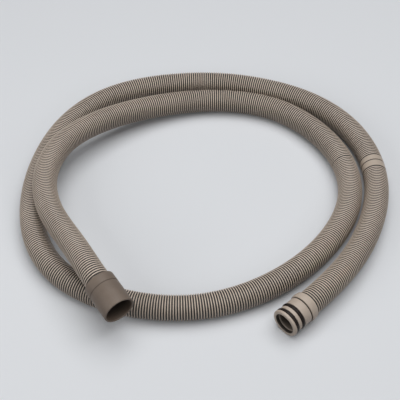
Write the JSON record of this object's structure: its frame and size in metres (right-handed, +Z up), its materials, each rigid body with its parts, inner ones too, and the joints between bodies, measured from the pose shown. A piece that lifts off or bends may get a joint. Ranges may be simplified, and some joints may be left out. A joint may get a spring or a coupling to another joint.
{
  "type": "washing machine drain hose",
  "caption": "Grey corrugated drain hose lying in two loose turns, with a hard spigot that carries O-rings on one end and a soft rubber cuff on the other.",
  "frame": {"origin": "on the surface that the hose lies on, under the middle of its turns", "axes": "+X along the longest side of the turns, -Y towards the two ends, +Z up"},
  "size_m": [0.4118, 0.3944, 0.0598],
  "materials": {
    "ribbed_plastic": "grey, finely corrugated, with a soft sheen on the ribs",
    "beige_plastic": "moulded, smooth, with a soft sheen",
    "black_rubber": "smooth, with a thin highlight",
    "grey_rubber": "moulded, satin"
  },
  "bodies": {
    "root": {"drain_hose": "ribbed_plastic", "spigot": "beige_plastic", "o_ring_rear": "black_rubber", "o_ring_front": "black_rubber", "rubber_cuff": "grey_rubber"}
  },
  "joints": []
}
